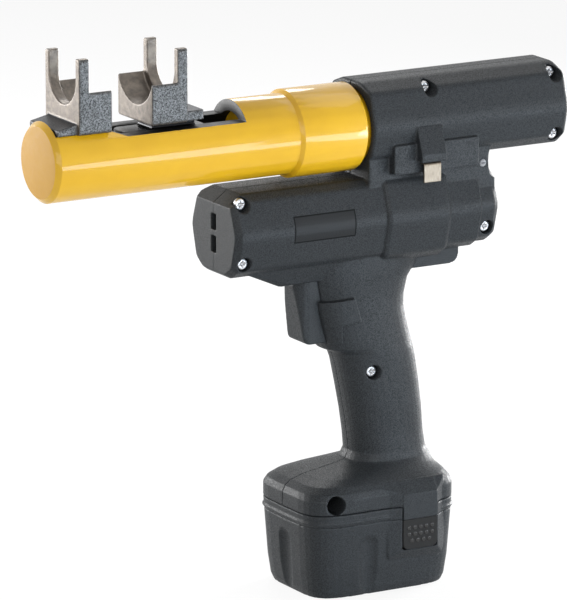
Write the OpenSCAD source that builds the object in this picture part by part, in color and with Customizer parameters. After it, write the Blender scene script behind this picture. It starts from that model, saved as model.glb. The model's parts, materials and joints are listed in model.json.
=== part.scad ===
// Cordless axial press tool: a slotted press frame with two fork heads, a hydraulic ram,
// a motor pod with a planetary drive, a moulded pistol housing and a slide-on battery.
// X runs from the nose to the rear, Z is up, and the tool stands on its battery at Z = 0.

/* [Press frame] */
// Diameter of the slotted front part
frame_d = 41; // [40:0.5:44]
// Diameter of the cylinder part behind the shoulder
cylinder_d = 45; // [43:0.5:47]
// Diameter of the guide bore that the carriage slides in
guide_d = 29.4; // [28.4:0.2:29.6]
// Height of the slot floor above the press axis
slot_floor_h = 12; // [11:0.5:12.5]
// Height of the fixed head's seat above the press axis
seat_h = 15; // [14.9:0.1:16]
// Solid length of the nose in front of the guide bore
nose_wall = 16; // [14.5:0.5:18]
// Length of the neck that enters the housing
neck_l = 19.2; // [16:0.2:24]
// Diameter of the neck
neck_d = 37; // [36:0.5:38]

/* [Press heads] */
// Width of the heads
head_w = 35.6; // [34:0.2:38]
// Height of the pipe axis above the press axis
pipe_h = 42; // [40:0.5:45]
// Diameter of the pipe saddle in each fork plate
saddle_d = 27.6; // [24:0.2:28.4]
// Diameter of the cradle in each block
cradle_d = 36; // [31:0.5:37]
// Height of the fork tips above the press axis
fork_h = 53; // [50:0.5:57]
// Height of the block tops above the press axis
block_h = 36.5; // [35:0.5:38]
// Thickness of the fork plates
plate_t = 5.6; // [4.5:0.1:7]
// Thickness of the fixed head's block
fixed_block_t = 12.6; // [11:0.2:15]
// Thickness of the moving head's block
moving_block_t = 14.4; // [12:0.2:17]
// Length of the wedge foot of each head
wedge_l = 10.4; // [9.4:0.2:12]
// Open gap between the two heads at rest
head_gap = 22.4; // [20:0.2:26]

/* [Ram] */
// Travel of the ram towards the nose
stroke_out = 18; // [14:1:19]
// Travel of the ram back from the rest place
stroke_back = 22; // [18:1:24]
// Diameter of the piston rod
rod_d = 16; // [14:0.5:17]
// Diameter of the cylinder bore
bore_d = 30; // [29:0.5:31]
// Length of the piston
piston_l = 10; // [9:0.5:12]
// Length of the rod gland
gland_l = 10; // [8:0.5:12]
// Length of the return spring at rest
return_spring_l = 27; // [26:0.5:30]

/* [Housing] */
// Width of the upper barrel
barrel_w = 48.8; // [47:0.2:52]
// Length of the upper barrel
barrel_l = 116.4; // [112:0.2:126]
// Distance from the motor axis up to the press axis
axis_gap = 46.5; // [45:0.5:49]
// Width of the motor pod
pod_w = 49; // [47:0.5:53]
// How far the pod reaches in front of the barrel mouth
pod_reach = 79.3; // [76:0.5:84]
// Wall thickness of the housing
wall = 2.5; // [2:0.1:3]

/* [Grip and foot] */
// Depth of the grip, front to back
grip_d = 42.6; // [41:0.2:46]
// Width of the grip
grip_w = 33; // [31.5:0.5:36]
// Height of the grip from the foot to the pod
grip_h = 105.4; // [100:0.2:115]
// Length of the foot past the cells at each end
foot_end_l = 11.75; // [11:0.25:13]
// Width of the foot
foot_w = 64; // [63:1:68]
// Height of the foot
foot_h = 20; // [18:0.5:24]
// Travel of the trigger
trigger_travel = 6; // [4:0.5:7]
// Width of the trigger
trigger_w = 18; // [16:0.5:20]

/* [Battery] */
// Height of the battery below the foot
battery_h = 44.3; // [43.5:0.1:48]
// Diameter of a battery cell
cell_d = 18.3; // [17:0.1:18.6]
// Length of a battery cell
cell_l = 65; // [62:0.5:67]
// Travel of a latch button
latch_travel = 2.5; // [2:0.1:3]

/* [Drive] */
// Diameter of the motor can
motor_d = 35; // [33:0.5:36]
// Length of the motor can
motor_l = 53; // [50:0.5:55]
// Module of the planetary gears
gear_m = 0.75; // [0.7:0.01:0.78]
// Diameter of the motor shaft
shaft_d = 5; // [4:0.2:5.4]
// Offset of the eccentric that drives the pump plunger
eccentricity = 1.5; // [1:0.1:1.8]
// Diameter of the pump plunger
plunger_d = 7; // [6:0.2:8]

/* [Hidden] */
$fn = 64;

// Fits and overruns
overrun = 1;
run_fit = 0.05;
seat_fit = 0.05;
slide_gap = 0.3;
pocket_gap = 0.4;
end_gap = 0.2;

// Places along the press axis, from the nose face
nose_lip = 3.3;
nose_chamfer = 2.5;
fixed_x0 = nose_lip;
fixed_x1 = fixed_x0 + wedge_l + plate_t + fixed_block_t;
moving_x0 = fixed_x1 + head_gap;
moving_x1 = moving_x0 + moving_block_t + plate_t + wedge_l;
ramp_l = 8.6;
ramp_set = 1;
slot_room = 1.4;
slot_x1 = moving_x1 + stroke_back + slot_room;
carriage_lead = 14;
carriage_tail = 5;
carriage_x0 = moving_x0 - carriage_lead;
carriage_x1 = moving_x1 + carriage_tail;
guide_x1 = carriage_x1 + stroke_back + overrun;
gland_step = 1;
gland_x0 = guide_x1 + gland_step;
bore_x0 = gland_x0 + gland_l;
piston_x0 = bore_x0 + return_spring_l;
piston_x1 = piston_x0 + piston_l;
nut_l = 5;
nut_room = 2;
block_spigot_l = 5;
block_spigot_x0 = piston_x1 + nut_l + stroke_back + nut_room;
neck_x1 = block_spigot_x0 + block_spigot_l;
cylinder_x1 = neck_x1 - neck_l;
shoulder_set = 15;
shoulder_x = bore_x0 + shoulder_set;
shoulder_l = 1.6;
rim_chamfer = 0.8;
mouth_gap = 2.2;
mouth_x = cylinder_x1 + mouth_gap;
tool_l = mouth_x + barrel_l;

// Radii of the press frame and ram
frame_r = frame_d / 2;
cylinder_r = cylinder_d / 2;
gland_d = 22;
rod_passage_d = rod_d + 2 * overrun;
carriage_d = guide_d - 2 * slide_gap;
carriage_top = slot_floor_h - slide_gap;
carriage_nose_l = 9;
carriage_nose_steps = 8;
head_lift = 0.6;
head_base_h = seat_h + head_lift;
plateau_w = 15.4;
plateau_x0 = fixed_x1 + ramp_set + ramp_l + stroke_out + slide_gap;
rod_tenon_d = 10;
rod_tenon_l = 12;
piston_d = bore_d - 2 * run_fit;
piston_tenon_d = 9;
seal_w = 4;
seal_groove_d = 24;
nut_d = 17;
nut_sides = 6;
return_wire_d = 1.8;
return_turns = 4;

// Press heads
wedge_w = 30;
fixed_wedge_t = 3.2;
moving_wedge_t = 5.2;
wedge_top_h = 20.5;
spigot_d = 9;
spigot_l = 10;
fork_round = 1.5;
seat_x0 = 2.5;

// Heights
seam_gap = 0.3;
foot_z = battery_h + seam_gap;
grip_z = foot_z + foot_h;
pod_margin = 4;
pod_h = motor_d + 2 * pod_margin;
pod_bottom_z = grip_z + grip_h;
pod_z = pod_bottom_z + pod_h / 2;
axis_z = pod_z + axis_gap;

// Places along the motor axis
pod_x0 = mouth_x - pod_reach;
pod_front_t = 3.3;
screw_room = 6.3;
end_cap_l = 7.7;
end_cap_x0 = pod_x0 + pod_front_t + screw_room;
motor_x0 = end_cap_x0 + end_cap_l;
motor_x1 = motor_x0 + motor_l;
fan_gap = 2;
fan_l = 8;
fan_x0 = motor_x1 + fan_gap;
gear_set = 8;
ring_x0 = fan_x0 + fan_l + gear_set;
ring_l = 16;
ring_x1 = ring_x0 + ring_l;
planet_l = 10;
planet_x0 = ring_x0 + (ring_l - planet_l) / 2;
planet_x1 = planet_x0 + planet_l;
sun_x0 = ring_x0 + 2 * overrun;
sun_x1 = planet_x1 + overrun;
carrier_x0 = sun_x1 + overrun;
carrier_t = 5;
carrier_x1 = carrier_x0 + carrier_t;
journal_l = 10;
bearing_set = 2;
bearing_w = 6;
bearing_x0 = carrier_x1 + bearing_set;
neck_shaft_l = 10;
eccentric_l = 12;
eccentric_x0 = carrier_x1 + journal_l + neck_shaft_l;
eccentric_x1 = eccentric_x0 + eccentric_l;
plunger_x = (eccentric_x0 + eccentric_x1) / 2;
tail_l = 8;
tail_gap = 1;
pod_rear_set = 20.6;
pod_x1 = plunger_x + pod_rear_set;

// Drive sizes
can_wall = 1.5;
magnet_t = 4;
magnet_span_shares = [0.11, 0.39];
magnet_bore = motor_d - 2 * can_wall - 2 * magnet_t;
air_gap = 1.5;
armature_d = magnet_bore - 2 * air_gap;
winding_set = 1.5;
winding_d = armature_d - 2 * winding_set;
commutator_d = 10;
fan_d = 28;
fan_hub_d = 9;
fan_blades = 8;
fan_blade_t = 1.2;
fan_plate_t = 1.5;
sun_teeth = 12;
planet_teeth = 15;
planets = 3;
ring_teeth = sun_teeth + 2 * planet_teeth;
pressure_angle = 25;
addendum_share = 0.9;
dedendum_share = 1.2;
backlash_share = 0.16;
planet_orbit_r = gear_m * (sun_teeth + planet_teeth) / 2;
ring_rim = 3;
ring_d = gear_m * (ring_teeth + 2 * dedendum_share) + 2 * ring_rim;
planet_pin_d = 3.2;
carrier_margin = 4;
carrier_d = 2 * (planet_orbit_r + carrier_margin);
journal_d = 15;
bearing_d = 26;
neck_shaft_d = 10;
eccentric_d = 14;
eccentric_bearing_d = 22;
tail_d = 8;
tail_bush_d = 14;

// Hydraulics in the barrel
block_d = 33;
block_margin = 8;
block_x1 = plunger_x + block_margin;
block_boss_w = 16;
block_boss_drop = 2;
oil_way_d = 6;
plunger_top_drop = 4;
plunger_z0 = pod_z + eccentricity + eccentric_bearing_d / 2 + slide_gap;
plunger_z1 = axis_z - plunger_top_drop;
plunger_collar_d = 12;
plunger_collar_l = 2;
plunger_wire_d = 0.9;
plunger_turns = 4;
valve_d = 8;
valve_head_d = 10;
valve_l = 10;
valve_head_l = 2;
valve_turn = 38;
valve_orbit_r = (block_d - valve_head_d) / 2 - end_gap;
valve_y = valve_orbit_r * cos(valve_turn);
valve_z = valve_orbit_r * sin(valve_turn);
bladder_d = 30;
bladder_neck_d = 2 * valve_orbit_r - valve_head_d - 2 * slide_gap;
bladder_neck_l = 4;
bladder_ribs = 5;
bladder_rib_share = 0.06;
bladder_end_room = 11;
bladder_x1 = tool_l - bladder_end_room;

// Barrel, web, pod and collar outlines
barrel_outline_shares = [[0.56, -0.76, 0.24], [0.86, -0.52, 0.16], [1.01, 0.09, 0.7],
    [0.80, 0.80, 0.15], [0.36, 0.965, 0.5]];
barrel_round = 3;
barrel_mouth_round = 1;
pod_outline_shares = [[0.50, -1.00, 0.26], [0.80, -0.78, 0.26], [1.01, 0.07, 0.65],
    [0.76, 0.84, 0.22], [0.57, 1.00, 0.17]];
pod_face_share = 0.90;
pod_face_round = 3.2;
pod_brow_l = 8;
pod_brow_drop = 6;
collar_proud = 1.8;
collar_lead = 1;
collar_l = 37;
collar_x0 = ring_x0 - collar_lead;
collar_x1 = collar_x0 + collar_l;
tail_step_share = 0.97;
tail_step_l = 19;
tail_cap_share = 0.90;
tail_round = 3;
web_w = 37.6;
web_rear_r = 4;
web_gap_share = 0.4;
plate_w = 48;
plate_set = 13;
plate_x0 = mouth_x + plate_set;
plate_rear_set = 5.4;
plate_x1 = plunger_x + plate_rear_set;
plate_rise = 3.3;
plate_z0 = pod_bottom_z + pod_h + plate_rise;
plate_drop = 9;
plate_z1 = axis_z - plate_drop;
corner_steps = 4;
vent_w = 5;
vent_l = 8.3;
vent_gap = 3.1;
mouth_depth = 3;
mouth_room = 1.5;
mouth_d = neck_d + 2 * mouth_room;

// Grip, belly and stub
grip_set = 20.5;
grip_x = mouth_x + grip_set;
foot_set = 4.75;
foot_l = cell_l + 2 * foot_end_l;
foot_x = mouth_x + foot_set;
ring_sides = 40;
foot_shares = [[0, 1, 1, 5, 0], [0.36, 1, 1, 5, 0], [0.52, 0.975, 0.965, 4.6, 0.02],
    [0.66, 0.915, 0.89, 4, 0.08], [0.77, 0.81, 0.78, 3.4, 0.25], [0.86, 0.68, 0.68, 2.9, 0.58],
    [0.93, 0.59, 0.61, 2.6, 0.85], [1, 0.525, 0.555, 2.5, 1]];
grip_shares = [[0.04, -0.50, 0.495, 1.03], [0.12, -0.52, 0.465, 1], [0.24, -0.565, 0.443, 1],
    [0.38, -0.635, 0.40, 1], [0.50, -0.70, 0.35, 1], [0.545, -0.745, 0.325, 1], [0.57, -0.89, 0.31, 1],
    [0.61, -0.95, 0.28, 1], [0.68, -1.005, 0.235, 1], [0.75, -1.05, 0.20, 1], [0.81, -1.08, 0.205, 1],
    [0.89, -1.12, 0.255, 1.02], [0.96, -1.16, 0.38, 1.04], [1.10, -1.20, 0.60, 1.04]];
grip_squareness = 2.4;
belly_w = 30;
belly_lip = 1.9;
belly_low_w = trigger_w + 2 * belly_lip;
belly_set = 10;
belly_x0 = pod_x0 + belly_set;
belly_reach = 62;
belly_x1 = grip_x - belly_reach;
belly_drop = 7;
belly_r = 4;
stub_w = 18;
stub_set = 6;
stub_l = 32.5;
stub_x0 = grip_x + stub_set;
stub_drop = 8;
stub_r = 5;
pad_proud = 2.2;
pad_squareness = 3.2;
pad_reach = 28;
pad_x1 = grip_x - pad_reach;
pad_drop = 17.3;
pad_z1 = pod_bottom_z - pad_drop;
pad_h = 12.6;
pad_lean = 3.9;
pad_dip = 3;
low_pad_set = 6.6;
low_pad_h = 10.5;
low_pad_lean = 0.8;
clip_ramp_set = 24.8;
clip_ramp_rise = 0.5;
clip_ramp_drop = 17;
ramp_x0 = mouth_x + clip_ramp_set;
ramp_w = 14.5;
ramp_top_z = axis_z + clip_ramp_rise;
ramp_bottom_z = axis_z - clip_ramp_drop;
ramp_proud = 5;
ramp_foot_t = 4;

// Trigger
trigger_drop = 7.9;
trigger_top_z = pod_bottom_z - trigger_drop;
trigger_h = 33;
trigger_reach = 57;
trigger_depth = 19.5;
trigger_x0 = grip_x - trigger_reach;
trigger_rake = 5;
trigger_rear_x = trigger_x0 + trigger_depth;
trigger_round = 7.5;
trigger_spring_hole_d = 7;
trigger_spring_hole_l = 6;
trigger_spring_d = 5.4;
trigger_wire_d = 0.7;
trigger_turns = 5;
switch_gap = 1.5;
switch_rise = 3;
switch_x0 = trigger_rear_x + trigger_travel + switch_gap;
switch_l = 22;
switch_w = 20;
switch_h = 28;
switch_z0 = trigger_top_z - trigger_h + switch_rise;

// Control board and contacts in the grip
stem_h = 33;
stem_l = 34;
stem_w = 24;
stem_squareness = 3;
stem_gap = 0.5;
contact_h = 6;
contact_l = 28;
contact_w = 20;
contact_z0 = foot_z + stem_h + end_gap;
board_t = 1.6;
board_l = 24;
board_h = 20;
board_part_t = 4;
board_part_l = 8;
board_z0 = contact_z0 + contact_h + end_gap;

// Battery
battery_base_share = 0.93;
battery_edge_share = 0.885;
battery_edge_r = 14;
battery_squareness = 5;
cover_h = 6.3;
case_h = battery_h - cover_h;
bead_h = 2.4;
bead_proud = 1;
bead_set = 0.8;
battery_wall = 3;
cell_gap = 0.3;
cell_pitch = cell_d + 2 * cell_gap;
cell_rows = 2;
cover_recess_z = battery_wall + cell_gap + cell_d + cell_pitch + 3 * cell_gap;
flute_r = 9;
flute_depth = 1.9;
flute_top_share = 0.85;
flute_cap_l = 5;
flute_place_share = 0.13;

// Latch
latch_set = 1.5;
latch_x = grip_x + latch_set;
latch_l = 20;
latch_h = 15.6;
latch_drop = 0.4;
latch_z1 = case_h - latch_drop;
latch_z0 = latch_z1 - latch_h;
latch_t = 6.5;
latch_proud = 2.9;
latch_round = 3;
latch_pad_l = 16;
latch_pad_r = 6.5;
latch_pad_h = 7;
latch_pad_set = 8;
latch_pad_round = 6;
latch_pad_sink = 2.6;
latch_rise = 0.2;
latch_boss_rim = 3;
latch_room_share = 0.45;
latch_face_y = latch_proud + battery_share((latch_z0 + latch_z1) / 2) * foot_w / 2;
latch_panel_y = latch_face_y - latch_rise;
latch_room = latch_face_y - latch_t - (cell_pitch + cell_d) / 2;
latch_spring_l = latch_travel + latch_room_share * (latch_room - latch_travel);
latch_boss_wall = 1;
latch_boss_t = latch_t + latch_spring_l + latch_boss_wall;
latch_spring_d = 6;
latch_wire_d = 0.6;
latch_turns = 3;
tongue_t = 3;
tongue_proud = 0.3;
tongue_y = latch_panel_y + tongue_proud;
tongue_h = 12.8;
tongue_lean = 5;
latch_dot_d = 2;
latch_dot_h = 0.4;
latch_dot_pitch = 3.4;
latch_dot_rows = [4, 5, 5];

// Screws: place along X, height, distance of the head's seat from the middle plane, recess diameter
screw_head_d = 6;
screw_head_l = 2.4;
screw_d = 3;
screw_recess_d = 7.6;
foot_recess_d = 9.6;
screw_hole_d = 3.5;
screw_reach = 12;
barrel_screw_set = 35.5;
barrel_screw_gap = 0.4;
barrel_screw_h = (block_d + screw_d) / 2 + barrel_screw_gap;
barrel_screw_depth = 13.6;
rear_screw_set = 6.5;
rear_screw_drop = 12.5;
rear_screw_depth = 9.9;
pod_screw_rise = 16.8;
pod_screw_rise_depth = 11;
pod_screw_drop = 13.2;
pod_screw_drop_depth = 9;
tail_screw_set = 5.6;
tail_screw_drop = 10.5;
tail_screw_depth = 11;
grip_screw_set = 15.2;
grip_screw_rise = 47.4;
grip_screw_depth = 6.3;
foot_screw_set = 30.25;
foot_screw_rise = 5;
foot_screw_depth = 16;
pod_screw_x = pod_x0 + pod_front_t + screw_room / 2;
barrel_seat = barrel_w / 2 - barrel_screw_depth;
SCREWS = [
    [mouth_x + barrel_screw_set, axis_z + barrel_screw_h, barrel_seat, screw_recess_d],
    [tool_l - rear_screw_set, axis_z + barrel_screw_h, barrel_seat, screw_recess_d],
    [tool_l - rear_screw_set, axis_z - rear_screw_drop, barrel_w / 2 - rear_screw_depth, screw_recess_d],
    [pod_screw_x, pod_z + pod_screw_rise, pod_w / 2 - pod_screw_rise_depth, screw_recess_d],
    [pod_screw_x, pod_z - pod_screw_drop, pod_w / 2 - pod_screw_drop_depth, screw_recess_d],
    [pod_x1 - tail_screw_set, pod_z - tail_screw_drop, pod_w / 2 - tail_screw_depth, screw_recess_d],
    [grip_x - grip_screw_set, grip_z + grip_screw_rise, grip_w / 2 - grip_screw_depth, screw_recess_d],
    [foot_x - foot_screw_set, foot_z + foot_screw_rise, foot_w / 2 - foot_screw_depth, foot_recess_d]
];

// Strap clip under the ramp
clip_w = 10;
clip_t = 1.2;
clip_h = 10.5;
clip_proud = 3.4;
clip_bend_r = 1.8;
clip_x = ramp_x0 + ramp_w / 2;

// Unit vector
function unit(v) = v / norm(v);

// Points of an arc that rounds the corner b between a and c
function corner_arc(a, b, c, r) =
    let (u = unit(a - b), v = unit(c - b), half = acos(u * v) / 2, turn = 180 - 2 * half,
         centre = b + unit(u + v) * r / sin(half), p = b + u * r / tan(half) - centre,
         q = b + v * r / tan(half) - centre)
    [for (i = [0:corner_steps]) let (t = turn * i / corner_steps)
        centre + (p * sin(turn - t) + q * sin(t)) / sin(turn)];

// Closed outline with each corner [x, y, radius] rounded
function rounded(corners) =
    let (n = len(corners), p = [for (c = corners) [c[0], c[1]]])
    [for (i = [0:n - 1]) each corner_arc(p[(i + n - 1) % n], p[i], p[(i + 1) % n], corners[i][2])];

// Symmetric outline in the Y-Z plane from shares of a half width and a height unit
function mirrored_outline(shares, half_w, unit_h) =
    let (side = [for (s = shares) [s[0] * half_w, s[1] * unit_h, s[2] * unit_h]], n = len(side))
    rounded(concat(side, [for (i = [0:n - 1]) let (s = side[n - 1 - i]) [-s[0], s[1], s[2]]]));

// Ring of points in a plane of constant X
function x_ring(outline, x, scale_share, z) =
    [for (p = outline) [x, p[0] * scale_share, z + p[1] * scale_share]];

// Ring of a superellipse in a plane of constant Z
function z_ring(z, x0, x1, half_w, squareness) =
    [for (i = [0:ring_sides - 1]) let (t = 360 * i / ring_sides, c = cos(t), s = sin(t))
        [(x0 + x1) / 2 + (x1 - x0) / 2 * sign(c) * pow(abs(c), 2 / squareness),
         half_w * sign(s) * pow(abs(s), 2 / squareness), z]];

// Solid through a list of rings with equal point counts
module loft(rings) {
    n = len(rings[0]);
    m = len(rings);
    sides = [for (j = [0:m - 2], i = [0:n - 1]) let (a = j * n, b = (j + 1) * n, k = (i + 1) % n)
        each [[a + i, b + i, b + k], [a + i, b + k, a + k]]];
    caps = [[for (i = [0:n - 1]) i], [for (i = [n - 1:-1:0]) (m - 1) * n + i]];
    polyhedron([for (r = rings) each r], concat(sides, caps));
}

// Helical spring along +Z with its wire inside the length
coil_rings = 8;
coil_sides = 6;
function coil_ring(d, wire_d, l, turns, i) =
    let (t = i / coil_rings, a = 360 * t, z = wire_d / 2 + (l - wire_d) * t / turns)
    [for (k = [0:coil_sides - 1]) let (b = 360 * k / coil_sides, r = d / 2 + wire_d / 2 * cos(b))
        [r * cos(a), r * sin(a), z - wire_d / 2 * sin(b)]];
module coil(d, wire_d, l, turns) {
    loft([for (i = [0:turns * coil_rings]) coil_ring(d, wire_d, l, turns, i)]);
}

// Frames: origin at the nose face on the press axis, on the motor axis, and on the floor
module on_press_axis() {
    translate([-tool_l / 2, 0, axis_z]) children();
}
module on_motor_axis() {
    translate([-tool_l / 2, 0, pod_z]) children();
}
module on_floor() {
    translate([-tool_l / 2, 0, 0]) children();
}

// Round bar along X
module bar(x0, x1, d) {
    translate([x0, 0, 0]) rotate([0, 90, 0]) cylinder(h = x1 - x0, d = d);
}
module tube(x0, x1, d_out, d_in) {
    difference() {
        bar(x0, x1, d_out);
        bar(x0 - overrun, x1 + overrun, d_in);
    }
}
// Outline in X and Z, extruded across Y
module side_cut(outline, w) {
    translate([0, w / 2, 0]) rotate([90, 0, 0]) linear_extrude(height = w) polygon(outline);
}
// Outline in Y and Z, extruded along X
module cross_cut(x0, l) {
    translate([x0, 0, 0]) rotate([90, 0, 90]) linear_extrude(height = l) children();
}
// Turned shape along X from an outline of radius and place
module turned(outline) {
    rotate([0, 90, 0]) rotate_extrude() polygon(outline);
}

// Half angle of a tooth at radius r, with its flank an involute
function involute(base_r, r) = r <= base_r ? 0 :
    let (a = acos(base_r / r)) tan(a) * 180 / PI - a;
function tooth_half(teeth, r, thicker) =
    let (pitch_r = gear_m * teeth / 2, base_r = pitch_r * cos(pressure_angle))
    90 / teeth + thicker * 90 / pitch_r / PI + involute(base_r, pitch_r) - involute(base_r, r);
function gear_outline(teeth, tip_share, root_share, thicker) =
    let (pitch_r = gear_m * teeth / 2, tip_r = pitch_r + tip_share * gear_m,
         root_r = pitch_r - root_share * gear_m, radii = [root_r, pitch_r, tip_r], n = len(radii))
    [for (i = [0:teeth - 1]) let (mid = 90 + 360 * i / teeth) each concat(
        [for (k = [0:n - 1]) let (a = mid - tooth_half(teeth, radii[k], thicker))
            radii[k] * [cos(a), sin(a)]],
        [for (k = [n - 1:-1:0]) let (a = mid + tooth_half(teeth, radii[k], thicker))
            radii[k] * [cos(a), sin(a)]])];

// Press frame: slotted bar, cylinder part and neck in one piece
module press_frame() {
    color("goldenrod") on_press_axis() difference() {
        turned([[0, 0], [frame_r - nose_chamfer, 0], [frame_r, nose_chamfer],
            [frame_r, shoulder_x - shoulder_l], [cylinder_r, shoulder_x],
            [cylinder_r, cylinder_x1 - rim_chamfer], [cylinder_r - rim_chamfer, cylinder_x1],
            [neck_d / 2, cylinder_x1], [neck_d / 2, neck_x1], [0, neck_x1]]);
        side_cut([[seat_x0, seat_h], [fixed_x1 + ramp_set, seat_h],
            [fixed_x1 + ramp_set + ramp_l, slot_floor_h], [slot_x1, slot_floor_h],
            [slot_x1, cylinder_d], [seat_x0, cylinder_d]], cylinder_d + 2 * overrun);
        bar(nose_wall, guide_x1, guide_d);
        bar(guide_x1 - overrun, gland_x0 + overrun, rod_passage_d);
        bar(gland_x0, bore_x0 + overrun, gland_d + 2 * seat_fit);
        bar(bore_x0, neck_x1 + overrun, bore_d);
        translate([fixed_x0 + wedge_l / 2, 0, seat_h - spigot_l - end_gap])
            cylinder(h = spigot_l + cylinder_d, d = spigot_d + 2 * run_fit);
    }
}

// Fork head with its wedge towards -X, its base at base_h, and its spigot at the wedge's middle
module press_head(block_t, base_h, spigot_x, wedge_t) {
    plate_x = wedge_l;
    block_x = wedge_l + plate_t;
    difference() {
        union() {
            side_cut([[0, base_h], [wedge_l + overrun, base_h], [wedge_l + overrun, wedge_top_h],
                [wedge_l, wedge_top_h], [0, base_h + wedge_t]], wedge_w);
            cross_cut(plate_x, plate_t) polygon(rounded([[-head_w / 2, base_h, fork_round],
                [head_w / 2, base_h, fork_round], [head_w / 2, fork_h, fork_round],
                [-head_w / 2, fork_h, fork_round]]));
            cross_cut(block_x - overrun, block_t + overrun) polygon(rounded([
                [-head_w / 2, base_h, fork_round], [head_w / 2, base_h, fork_round],
                [head_w / 2, block_h, fork_round], [-head_w / 2, block_h, fork_round]]));
            translate([spigot_x, 0, base_h - spigot_l]) cylinder(h = spigot_l + overrun, d = spigot_d);
        }
        translate([0, 0, pipe_h]) bar(plate_x - overrun, block_x + overrun, saddle_d);
        translate([plate_x - overrun, -saddle_d / 2, pipe_h])
            cube([plate_t + 2 * overrun, saddle_d, fork_h]);
        translate([0, 0, pipe_h]) bar(block_x, block_x + block_t + overrun, cradle_d);
    }
}
module fixed_head() {
    color("gray") on_press_axis() translate([fixed_x0, 0, 0])
        press_head(fixed_block_t, seat_h, wedge_l / 2, fixed_wedge_t);
}
module moving_head() {
    color("gray") on_press_axis() translate([moving_x1, 0, 0]) mirror([1, 0, 0])
        press_head(moving_block_t, head_base_h, wedge_l, moving_wedge_t);
}

// Carriage: round slide with a blunt nose and a plateau under the moving head
module head_carriage() {
    nose = [for (i = [0:carriage_nose_steps]) let (t = 90 * i / carriage_nose_steps)
        [carriage_d / 2 * sin(t), carriage_x0 + carriage_nose_l * (1 - cos(t))]];
    color("dimgray") on_press_axis() difference() {
        union() {
            difference() {
                turned(concat(nose, [[carriage_d / 2, carriage_x1], [0, carriage_x1]]));
                translate([carriage_x0 - overrun, -carriage_d, carriage_top])
                    cube([carriage_x1 - carriage_x0 + 2 * overrun, 2 * carriage_d, carriage_d]);
            }
            translate([plateau_x0, -plateau_w / 2, 0])
                cube([moving_x1 - overrun - plateau_x0, plateau_w, head_base_h]);
        }
        translate([moving_x1 - wedge_l, 0, head_base_h - spigot_l - end_gap])
            cylinder(h = spigot_l + overrun, d = spigot_d + 2 * run_fit);
        bar(carriage_x1 - rod_tenon_l - end_gap, carriage_x1 + overrun, rod_tenon_d + 2 * seat_fit);
    }
}

// Ram behind the carriage
module piston_rod() {
    color("silver") on_press_axis() {
        bar(carriage_x1 - rod_tenon_l, carriage_x1 + overrun, rod_tenon_d);
        bar(carriage_x1, piston_x0, rod_d);
        bar(piston_x0 - overrun, piston_x1 + nut_l, piston_tenon_d);
    }
}
module piston() {
    seal_x0 = (piston_x0 + piston_x1 - seal_w) / 2;
    color("slategray") on_press_axis() difference() {
        tube(piston_x0, piston_x1, piston_d, piston_tenon_d + 2 * seat_fit);
        tube(seal_x0, seal_x0 + seal_w, piston_d + overrun, seal_groove_d);
    }
}
module piston_seal() {
    seal_x0 = (piston_x0 + piston_x1 - seal_w) / 2 + seat_fit;
    color("black") on_press_axis()
        tube(seal_x0, seal_x0 + seal_w - 2 * seat_fit, piston_d, seal_groove_d + 2 * seat_fit);
}
module piston_nut() {
    color("darkgray") on_press_axis() difference() {
        translate([piston_x1, 0, 0]) rotate([0, 90, 0]) cylinder(h = nut_l, d = nut_d, $fn = nut_sides);
        bar(piston_x1 - overrun, piston_x1 + nut_l + overrun, piston_tenon_d + 2 * seat_fit);
    }
}
module rod_gland() {
    color("peru") on_press_axis() tube(gland_x0, bore_x0, gland_d, rod_d + 2 * run_fit);
}
module return_spring() {
    color("darkslategray") on_press_axis() translate([bore_x0 + end_gap, 0, 0]) rotate([0, 90, 0])
        coil((gland_d + bore_d) / 2 - return_wire_d, return_wire_d, return_spring_l - 2 * end_gap,
            return_turns);
}

// Pump behind the cylinder
module pump_block() {
    color("lightsteelblue") on_press_axis() difference() {
        union() {
            bar(block_spigot_x0, neck_x1 + overrun, bore_d - 2 * seat_fit);
            bar(neck_x1, block_x1, block_d);
            translate([plunger_x - block_boss_w / 2, -block_boss_w / 2, -block_d / 2 - block_boss_drop])
                cube([block_boss_w, block_boss_w, block_d / 2]);
        }
        bar(block_spigot_x0 - overrun, plunger_x, oil_way_d);
        translate([plunger_x, 0, -block_d])
            cylinder(h = block_d - plunger_top_drop + end_gap, d = plunger_d + 2 * run_fit);
        translate([0, valve_y, valve_z]) bar(block_x1 - valve_l - end_gap, block_x1 + overrun,
            valve_d + 2 * seat_fit);
    }
}
module relief_valve() {
    color("goldenrod") on_press_axis() translate([0, valve_y, valve_z]) {
        bar(block_x1 - valve_l, block_x1 + overrun, valve_d);
        translate([block_x1, 0, 0]) rotate([0, 90, 0])
            cylinder(h = valve_head_l, d = valve_head_d, $fn = nut_sides);
    }
}
module pump_plunger() {
    color("silver") on_floor() translate([plunger_x, 0, plunger_z0]) {
        cylinder(h = plunger_z1 - plunger_z0, d = plunger_d);
        cylinder(h = plunger_collar_l, d = plunger_collar_d);
    }
}
module plunger_spring() {
    spring_z0 = plunger_z0 + plunger_collar_l + end_gap;
    spring_z1 = axis_z - block_d / 2 - block_boss_drop - end_gap;
    color("darkslategray") on_floor() translate([plunger_x, 0, spring_z0])
        coil((plunger_collar_d + plunger_d) / 2, plunger_wire_d, spring_z1 - spring_z0, plunger_turns);
}
module oil_bladder() {
    body_x0 = block_x1 + bladder_neck_l;
    body_l = bladder_x1 - body_x0;
    steps = 4 * bladder_ribs;
    wave = [for (i = [0:steps]) let (t = i / steps)
        [bladder_d / 2 * (1 - bladder_rib_share * (1 - cos(360 * bladder_ribs * t)) / 2),
         body_x0 + body_l * t]];
    color("black") on_press_axis() turned(concat([[0, block_x1], [bladder_neck_d / 2, block_x1],
        [bladder_neck_d / 2, body_x0]], wave, [[0, bladder_x1]]));
}

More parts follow.
